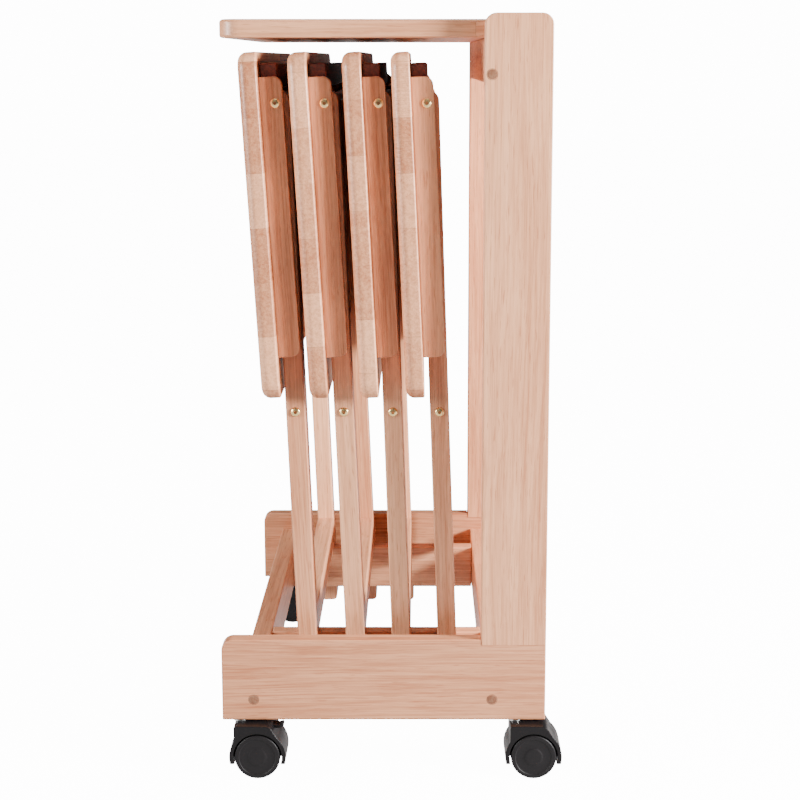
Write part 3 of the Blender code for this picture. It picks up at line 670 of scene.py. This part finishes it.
# ---------- operators
class TRAYSTAND_OT_side_frames(Operator):
    """Side rails with a round nose, each with its post standing in the seat at the back"""

    bl_idname = "tray_stand.side_frames"
    bl_label = "Side frames"

    def execute(self, context):
        ease = context.scene.tray_stand_wood.edge
        for side, _ in SIDES:
            node, post = "side_rail_" + side, "post_" + side
            centre, half = seat_of(node, SIDE_VIEW)
            post_centre, post_half = seat_of(post, SIDE_VIEW)
            step_x = post_centre[0] - post_half[0] - centre[0] - TOUCH
            seat = post_centre[2] - post_half[1] - centre[2] - TOUCH
            x, z = half[:2]
            outline = corner_arcs([(-x, -z, RAIL_CORNER), (x, -z, RAIL_CORNER), (x, seat, 0),
                                   (step_x, seat, 0), (step_x, z, 0), (-x, z, FRAME_NOSE)])
            straight = ((1, seat), (0, step_x))
            rings = eased_plate(outline, half[2], ease, ease, straight=straight)
            wooden(node, rings, SIDE_VIEW, centre, "straight_wood", 0, RAIL_TONE)
            x, z = post_half[:2]
            outline = rectangle(x, z, (0, 0, FRAME_NOSE, FRAME_NOSE))
            rings = eased_plate(outline, post_half[2], ease, ease, straight=((1, -z),))
            wooden(post, rings, SIDE_VIEW, post_centre, "straight_wood", 1, POST_TONE)
        return {"FINISHED"}


class TRAYSTAND_OT_cross_members(Operator):
    """Crossbars, ledgers and the apron under the top board"""

    bl_idname = "tray_stand.cross_members"
    bl_label = "Cross members"

    def execute(self, context):
        ease = context.scene.tray_stand_wood.edge
        for node in ("front_crossbar", "back_crossbar", "top_apron"):
            board(node, (Y_AXIS, Z_AXIS, X_AXIS), ease)
        for side, _ in SIDES:
            board("ledger_" + side, SIDE_VIEW, ease)
        return {"FINISHED"}


class TRAYSTAND_OT_top_board(Operator):
    """The glued top board between the posts, its front corners rounded in plan"""

    bl_idname = "tray_stand.top_board"
    bl_label = "Top board"

    def execute(self, context):
        node = "top_board"
        plan = (Y_AXIS, -X_AXIS, Z_AXIS)
        centre, half = seat_of(node, plan)
        radii = (TOP_BACK_CORNER, TOP_BACK_CORNER, TOP_FRONT_CORNER, TOP_FRONT_CORNER)
        outline = rectangle(*half[:2], radii, FINE_STEPS)
        rings = eased_plate(outline, half[2], TOP_LOW_EASE, TOP_HIGH_EASE)
        wooden(node, rings, plan, centre, "glued_wood", 1, TOP_TONE)
        return {"FINISHED"}


class TRAYSTAND_OT_panels(Operator):
    """The four tray panels, glued from staves, round along the rim of the upper face"""

    bl_idname = "tray_stand.panels"
    bl_label = "Tray panels"

    def execute(self, context):
        for tray in TRAY_NAMES:
            node = tray + "_panel"
            up, across = lean_of(node)
            axes = (Y_AXIS, up, across)
            centre, half = seat_of(node, axes)
            outline = rectangle(*half[:2], (PANEL_CORNER,) * 4, FINE_STEPS)
            rings = eased_plate(outline, half[2], PANEL_FACE_EASE, PANEL_UNDER_EASE, FINE_STEPS)
            wooden(node, rings, axes, centre, "glued_wood", 0)
        return {"FINISHED"}


class TRAYSTAND_OT_cleats(Operator):
    """Cleats, dark end batten and catch blocks on the underside of each panel"""

    bl_idname = "tray_stand.cleats"
    bl_label = "Cleats and battens"

    def execute(self, context):
        radii = (CLEAT_SEAT_CORNER, CLEAT_CORNER, CLEAT_CORNER, CLEAT_SEAT_CORNER)
        for tray in TRAY_NAMES:
            up, across = lean_of(tray + "_panel")
            side_view = (across, up, -Y_AXIS)
            for side, _ in SIDES:
                node = f"{tray}_cleat_{side}"
                centre, half = seat_of(node, side_view)
                outline = rectangle(*half[:2], radii)
                rings = eased_plate(outline, half[2], CLEAT_EASE, CLEAT_EASE)
                # painted shade and light: a darker tone on the first three trays' cleats, a
                # lighter one on the last tray's cleat
                tone = LAST_CLEAT_LIT_TONE if tray == TRAY_NAMES[-1] else CLEAT_SHADED_TONE
                wooden(node, rings, side_view, centre, "straight_wood", 1, tone)
            board(tray + "_end_batten", (Y_AXIS, up, across), BATTEN_EASE, "dark_batten_wood")
            self.catch_blocks(tray, side_view)
        return {"FINISHED"}

    def catch_blocks(self, tray, side_view):
        """Two blocks under the panel, each with a half-round notch for the inner legs' rung."""
        across, up, _ = side_view
        centre, half = seat_of(tray + "_panel", side_view)
        x, y = CATCH_DEPTH / 2, CATCH_HEIGHT / 2
        hollow = arc_of(CATCH_NOTCH, np.pi * 3 / 2, np.pi / 2, 2 * ARC_STEPS + 1) + (x, 0)
        outline = np.concatenate([[(x, y), (-x, y), (-x, -y), (x, -y)], hollow])
        rise = half[1] - PANEL_TO_HINGE - HINGE_TO_CATCH
        for side, sign in SIDES:
            at = centre + across * (half[0] + TOUCH + x) + up * rise + Y_AXIS * sign * CATCH_ASIDE
            rings = eased_plate(outline, CATCH_WIDTH / 2, CATCH_EASE, CATCH_EASE, COARSE_STEPS)
            add_piece(f"{tray}_catch_block_{side}", [rings], side_view, at, tray + "_panel",
                      "dark_batten_wood")


class TRAYSTAND_OT_legs(Operator):
    """Outer and inner legs with round ends, and the stretcher and rung between the inner legs"""

    bl_idname = "tray_stand.legs"
    bl_label = "Tray legs"

    def execute(self, context):
        ease = context.scene.tray_stand_wood.edge
        for tray in TRAY_NAMES:
            up, across = lean_of(tray + "_inner_leg_right")
            side_view = (across, up, -Y_AXIS)
            for kind in ("outer", "inner"):
                for side, _ in SIDES:
                    node = f"{tray}_{kind}_leg_{side}"
                    centre, half = seat_of(node, side_view)
                    rings = eased_plate(self.outline(*half[:2]), half[2], ease, ease)
                    wooden(node, rings, side_view, centre, "straight_wood")
            board(tray + "_stretcher", (Y_AXIS, up, across), ease)
            self.rung(tray, up, across)
        return {"FINISHED"}

    def outline(self, x, z):
        """A bar with a half-round upper end and small rounds at the foot."""
        foot = rectangle(x, z, (FOOT_ROUND, FOOT_ROUND, 0, 0))[:-2]
        top = arc_of(x, 0, np.pi, LEG_END_POINTS) + (0, z - x)
        neck = z - x - SUPPORT
        return np.concatenate([foot, [(x, neck)], top, [(-x, neck)]])

    def rung(self, tray, up, across):
        """The round rung that joins the upper ends of the inner legs."""
        node = tray + "_inner_leg_right"
        centre, half = seat_of(node, (across, up, -Y_AXIS))
        reach = abs(centre[1]) - half[2] - TOUCH
        at = centre + up * (half[1] - half[0])
        at[1] = 0.0
        rings = turned([(RUNG_RADIUS, height) for height in (-reach, 0, reach)], RUNG_SIDES)
        add_piece(tray + "_rung", [rings], (across, up, Y_AXIS), at, node,
                  "straight_wood", 2)


class TRAYSTAND_OT_fixings(Operator):
    """Domed brass bolts at the tray hinges and leg crossings, and wood plugs over the screws"""

    bl_idname = "tray_stand.fixings"
    bl_label = "Bolts and plugs"

    def execute(self, context):
        fixings = context.scene.tray_stand_fixings
        head = self.head(fixings.head_radius, fixings.head_height, fixings.socket_radius)
        for tray in TRAY_NAMES:
            self.hinge_bolts(tray, head)
            self.cross_bolts(tray, head)
        self.plugs(fixings.plug_radius)
        self.stems()
        return {"FINISHED"}

    def head(self, radius, height, socket):
        """A dome, part of a quarter ellipse from rim to crown, with a hexagonal socket sunk in it.

        At an angle the hexagon reaches as far as its flats, divided by the cosine of the angle to
        the middle of the nearest flat.
        """
        t = np.linspace(0, DOME_TURN, DOME_POINTS)
        dome = np.stack([radius * np.cos(t), height * np.sin(t) / np.sin(DOME_TURN)], 1)
        rings = turned(np.concatenate([[(radius, -HEAD_SUNK)], dome, [(socket, height * LIP)]]))
        angles = np.linspace(0, 2 * np.pi, ROUND_SIDES, endpoint=False)
        sixth = np.pi / 3
        hexagon = socket * np.cos(sixth / 2) / np.cos((angles + sixth / 2) % sixth - sixth / 2)
        around = np.stack([np.cos(angles), np.sin(angles)], 1) * hexagon[:, None] * SOCKET_SHARE
        hollow = [np.concatenate([around, np.full((ROUND_SIDES, 1), height * share)], 1)
                  for share in SOCKET_LEVELS]
        return np.concatenate([rings, np.stack(hollow)])

    def hinge_bolts(self, tray, head):
        """Bolts through the cleats on the hinge axis, near the cleats' upper ends."""
        up, across = lean_of(tray + "_panel")
        for side, sign in SIDES:
            node, bolt = f"{tray}_cleat_{side}", f"{tray}_hinge_bolt_{side}"
            centre, half = seat_of(node, (across, up, -Y_AXIS))
            at = centre + up * (half[1] - CLEAT_TO_HINGE) + across * (half[0] - HINGE_INSET)
            at = at + Y_AXIS * sign * (half[2] + HEAD_GAP)
            holder = bolt if bolt in NODES else node
            piece = add_piece(f"{tray}_hinge_bolt_head_{side}", [head],
                              (X_AXIS, Z_AXIS, Y_AXIS * sign), at, holder, "bolt_brass")
            if bolt in NODES:
                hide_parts(bolt)

    def cross_bolts(self, tray, head):
        """Bolts where the outer and inner legs cross, half way down the legs."""
        up, across = lean_of(tray + "_inner_leg_right")
        for side, sign in SIDES:
            node = f"{tray}_outer_leg_{side}"
            centre, half = seat_of(node, (across, up, -Y_AXIS))
            drop = half[1] - LEG_TO_HINGE - HINGE_TO_CROSSING
            at = centre + up * drop + Y_AXIS * sign * (half[2] + HEAD_GAP)
            add_piece(f"{tray}_cross_bolt_{side}", [head], (X_AXIS, Z_AXIS, Y_AXIS * sign), at,
                      node, "bolt_brass")

    def plugs(self, radius):
        """Wood plugs, barely proud of the side rails and posts, over the cross members' screws.

        The profile climbs the plug's side, dips into a fine groove and rises to a flat crown.
        """
        lip, crown = PLUG_LIP, PLUG_CROWN
        profile = [(radius, -2 * lip), (radius, 0.0), (radius - lip, crown / 4),
                   (radius - lip, -lip / 2), (radius - PLUG_GROOVE * lip, -lip / 2),
                   (radius - 2 * lip, crown / 2), (radius / 2, crown)]
        rings = turned(profile, PLUG_SIDES)
        for side, sign in SIDES:
            for place, cross, holder, rise in PLUG_PLACES:
                low, high = (np.array(corner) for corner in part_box(cross))
                holder_low, holder_high = (np.array(corner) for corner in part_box(holder + side))
                face = holder_high[1] if sign > 0 else holder_low[1]
                at = np.array([(low[0] + high[0]) / 2 - PLUG_ASIDE, face, low[2] + rise])
                add_piece(f"screw_plug_{place}_{side}", [rings],
                          (X_AXIS, Z_AXIS, Y_AXIS * sign), at, holder + side,
                          "plug_wood", 2, 0.0)

    def stems(self):
        """The caster stems keep their own shape and get the plated finish."""
        for name, node in NODES.items():
            if name.endswith("_stem"):
                node.data.materials.clear()
                node.data.materials.append(finish("zinc_plate"))


class TRAYSTAND_OT_casters(Operator):
    """Four hooded casters with twin wheels, and a brake lever on each of the two front ones"""

    bl_idname = "tray_stand.casters"
    bl_label = "Casters"

    def execute(self, context):
        for end in ("front", "back"):
            for side, _ in SIDES:
                name = f"{end}_caster_{side}"
                wheel_low, wheel_high, stem_low, stem_high, _, hood_high = (
                    np.array(corner) for part in ("_wheels", "_stem", "_hood")
                    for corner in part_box(name + part))
                axle = (wheel_low + wheel_high) / 2
                _, half, radius = (wheel_high - wheel_low) / 2
                stem_x = (stem_low[0] + stem_high[0]) / 2 - axle[0]
                top = hood_high[2] - axle[2]
                self.wheels(name, axle, radius, half)
                self.hood(name, axle, radius, half, stem_x, top)
                if end == "front":
                    self.lever(name, axle, top)
        return {"FINISHED"}

    def wheels(self, name, axle, radius, half):
        """Two wheels on an axle, turned as one: a rounded tread, and a dished face inside a rim.

        At an angle t of its quarter round, the tread's inner edge lies at radius - r (1 - sin t)
        and r (1 - cos t) out from the wheel's inner face. The outer edge falls the same way.
        """
        t = np.linspace(0, np.pi / 2, ARC_STEPS + 1)
        inner, r, q = WHEEL_INNER, TREAD_INNER_ROUND, TREAD_OUTER_ROUND
        round_in = np.stack([radius - r + r * np.sin(t), inner + r - r * np.cos(t)], 1)
        round_out = np.stack([radius - q + q * np.cos(t), half - q + q * np.sin(t)], 1)
        flat = [(radius, inner + r + SUPPORT), (radius, half - q - SUPPORT)]
        rim = [(radius - inset, half - depth) for inset, depth in WHEEL_RIM]
        hub = [(place, half - depth) for place, depth in WHEEL_HUB]
        outer = np.concatenate([round_in, flat, round_out, rim, hub])
        axle_tube = [(AXLE_RADIUS, -inner), (AXLE_RADIUS, inner)]
        profile = np.concatenate([outer[::-1] * (1, -1), axle_tube, outer])
        rings = turned(profile, WHEEL_SIDES)
        piece = add_piece(name + "_wheel_pair", [rings], SIDE_VIEW, axle, name + "_wheels",
                          "wheel_plastic")
        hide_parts(name + "_wheels")

    def hood(self, name, axle, radius, half, stem_x, top):
        """A thin web between the wheels with a band on both its sides that arches over them.

        The band lies between two circles round the axle. Outside it leaves the circle at the
        shoulder and the cheek, and runs up to a flat crown below the stem.
        """
        casters = bpy.context.scene.tray_stand_casters
        inner = radius + casters.rim_gap
        outer = inner + casters.band
        nose = stem_x - HOOD_NOSE
        low_out, low_in = np.arcsin(HOOD_TIP / outer), np.arcsin(HOOD_TIP / inner)
        shoulder = arc_of(outer, low_out, HOOD_SHOULDER, SHOULDER_POINTS)
        cheek = arc_of(outer, np.arccos(nose / outer), np.pi - low_out, CHEEK_POINTS)
        arch = arc_of(inner, np.pi - low_in, low_in, ARCH_POINTS)
        boss = arc_of(BOSS_RADIUS, *BOSS_ANGLES, BOSS_POINTS)
        crown = corner_arcs([(*shoulder[-1], 0), (CROWN_BACK, top - CROWN_FALL, CROWN_ROUND),
                             (0.0, top, 0)], FINE_STEPS)[1:-1]
        brow = corner_arcs([(0.0, top, 0), (nose, top, BROW_ROUND), (*cheek[0], 0)])[:-1]
        outside = np.concatenate([shoulder, crown, brow, cheek])
        web_x, web_z = inner - WEB_INSET, HOOD_TIP + WEB_RISE
        web = np.concatenate([outside, [(-web_x, web_z)], boss, [(web_x, web_z)]])
        band = eased_plate(np.concatenate([outside, arch]), (half - BAND_FROM_MIDDLE) / 2,
                           BAND_EASE, BAND_EASE, SMALL_STEPS)
        shift = np.array([0, 0, (half + BAND_FROM_MIDDLE) / 2])
        web = eased_plate(web, WEB_HALF, WEB_EASE, WEB_EASE, COARSE_STEPS)
        piece = add_piece(name + "_cover", [band - shift, band + shift, web], SIDE_VIEW, axle,
                          name + "_hood", "hood_plastic")
        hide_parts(name + "_hood")

    def lever(self, name, axle, top):
        """A short brake lever that stands out behind the hood's crown, with a turned-up tip.

        Along its share s it falls by a steady slope and rises by the cube of s, and thins.
        """
        s = np.linspace(0, 1, LEVER_POINTS)
        spine = np.stack([LEVER_START + LEVER_LENGTH * s,
                          top - LEVER_DROP - LEVER_FALL * s + LEVER_CURL * s ** 3], 1)
        thick = LEVER_HALF_THICK * (1 - LEVER_TAPER * s)[:, None]
        way = np.gradient(spine, axis=0)
        way /= np.linalg.norm(way, axis=1, keepdims=True)
        side = np.stack([-way[:, 1], way[:, 0]], 1)
        outline = np.concatenate([spine - side * thick, (spine + side * thick)[::-1]])
        rings = eased_plate(outline, LEVER_HALF_WIDE, LEVER_EASE, LEVER_EASE, SMALL_STEPS)
        add_piece(name + "_brake_lever", [rings], SIDE_VIEW, axle, name + "_hood",
                  "hood_plastic")


class TRAYSTAND_OT_stage(Operator):
    """Pale floor, soft lights and the camera"""

    bl_idname = "tray_stand.stage"
    bl_label = "Stage"

    def execute(self, context):
        stage = context.scene.tray_stand_stage
        self.floor(stage)
        self.world()
        near = CAD_BOX[0][1]
        self.area("key", (2.2, near - 0.72, 0.95), aim=(0, near, 0.45), size=0.5, power=250)
        self.area("front", (-0.6, near - 2.4, 1.9), aim=(0, 0, 0.42), size=2.4, power=4)
        self.area("left", (-2.1, near - 0.75, 1.0), aim=(0, near, 0.4), size=0.8, power=86)
        self.area("top", (0.1, 0, 2.7), aim=(0, 0, 0.4), size=1.6, power=30)
        self.camera(context, stage)
        return {"FINISHED"}

    def floor(self, stage):
        """A wide flat sheet, one face, that glows for the camera and a little in reflections."""
        reach = FLOOR_REACH
        mesh = bpy.data.meshes.new("floor")
        corners = [(-reach, -reach, 0), (reach, -reach, 0), (reach, reach, 0), (-reach, reach, 0)]
        mesh.from_pydata(corners, [], [(0, 1, 2, 3)])
        floor = bpy.data.objects.new("floor", mesh)
        bpy.context.scene.collection.objects.link(floor)
        material, tree, shader = new_material("floor")
        shader.inputs["Base Color"].default_value = stage.floor
        shader.inputs["Roughness"].default_value = FLOOR_ROUGHNESS
        shader.inputs["Emission Color"].default_value = (1, 1, 1, 1)
        path = tree.nodes.new("ShaderNodeLightPath").outputs
        seen = math_node(tree, "MULTIPLY_ADD", path["Is Glossy Ray"], MIRRORED_GLOW,
                         path["Is Camera Ray"])
        glow = math_node(tree, "MULTIPLY", seen, FLOOR_GLOW)
        tree.links.new(glow, shader.inputs["Emission Strength"])
        mesh.materials.append(material)

    def world(self):
        """Weak white light from all round, and a bright white background for the camera."""
        world = bpy.data.worlds.new("studio")
        world.use_nodes = True
        tree = world.node_tree
        background = tree.nodes["Background"]
        background.inputs["Color"].default_value = (1.0, 1.0, 1.0, 1)
        seen = tree.nodes.new("ShaderNodeLightPath").outputs["Is Camera Ray"]
        glow = math_node(tree, "MULTIPLY_ADD", seen, WORLD_GLOW, WORLD_LIGHT)
        tree.links.new(glow, background.inputs["Strength"])
        bpy.context.scene.world = world

    def area(self, name, place, aim, size, power):
        data = bpy.data.lights.new(name, "AREA")
        data.energy = power
        data.size = size
        lamp = bpy.data.objects.new(name, data)
        way = np.array(aim) - np.array(place)
        lamp.location = place
        lamp.rotation_mode = "QUATERNION"
        lamp.rotation_quaternion = Vector(way).to_track_quat("-Z", "Y")
        bpy.context.scene.collection.objects.link(lamp)

    def camera(self, context, stage):
        data = bpy.data.cameras.new("camera")
        data.lens = stage.lens
        data.sensor_width = SENSOR_WIDTH
        data.shift_x, data.shift_y = CAMERA_SHIFT
        camera = bpy.data.objects.new("camera", data)
        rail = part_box("side_rail_right")[0][1]
        camera.location = (stage.eye_aside, rail - stage.eye_distance, stage.eye_height)
        camera.rotation_euler = (np.pi / 2 - stage.pitch, 0, 0)
        context.scene.collection.objects.link(camera)
        context.scene.camera = camera


class TRAYSTAND_PT_panel(Panel):
    """Settings and build buttons of the tray table stand"""

    bl_idname = "TRAYSTAND_PT_panel"
    bl_label = "Tray Table Stand"
    bl_space_type = "VIEW_3D"
    bl_region_type = "UI"
    bl_category = "Tray Stand"

    def draw(self, context):
        for operator in OPERATORS:
            self.layout.operator(operator.bl_idname)
        for name, group in SETTINGS:
            box = self.layout.box()
            settings = getattr(context.scene, name)
            for key in group.__annotations__:
                box.prop(settings, key)


SETTINGS = (
    ("tray_stand_wood", TRAYSTAND_PG_wood),
    ("tray_stand_fixings", TRAYSTAND_PG_fixings),
    ("tray_stand_casters", TRAYSTAND_PG_casters),
    ("tray_stand_stage", TRAYSTAND_PG_stage),
)
OPERATORS = (
    TRAYSTAND_OT_side_frames,
    TRAYSTAND_OT_cross_members,
    TRAYSTAND_OT_top_board,
    TRAYSTAND_OT_panels,
    TRAYSTAND_OT_cleats,
    TRAYSTAND_OT_legs,
    TRAYSTAND_OT_fixings,
    TRAYSTAND_OT_casters,
    TRAYSTAND_OT_stage,
)
CLASSES = tuple(group for _, group in SETTINGS) + OPERATORS + (TRAYSTAND_PT_panel,)


def register():
    for made in CLASSES:
        bpy.utils.register_class(made)
    for name, group in SETTINGS:
        setattr(bpy.types.Scene, name, PointerProperty(type=group))


def unregister():
    for name, _ in SETTINGS:
        delattr(bpy.types.Scene, name)
    for made in reversed(CLASSES):
        bpy.utils.unregister_class(made)


def main():
    register()
    for old in [o for o in bpy.data.objects if o.name in ("Cube", "Light", "Camera")]:
        bpy.data.objects.remove(old, do_unlink=True)
    bpy.ops.tray_stand.side_frames()
    bpy.ops.tray_stand.cross_members()
    bpy.ops.tray_stand.top_board()
    bpy.ops.tray_stand.panels()
    bpy.ops.tray_stand.cleats()
    bpy.ops.tray_stand.legs()
    bpy.ops.tray_stand.fixings()
    bpy.ops.tray_stand.casters()
    bpy.ops.tray_stand.stage()


if __name__ == "__main__":
    main()
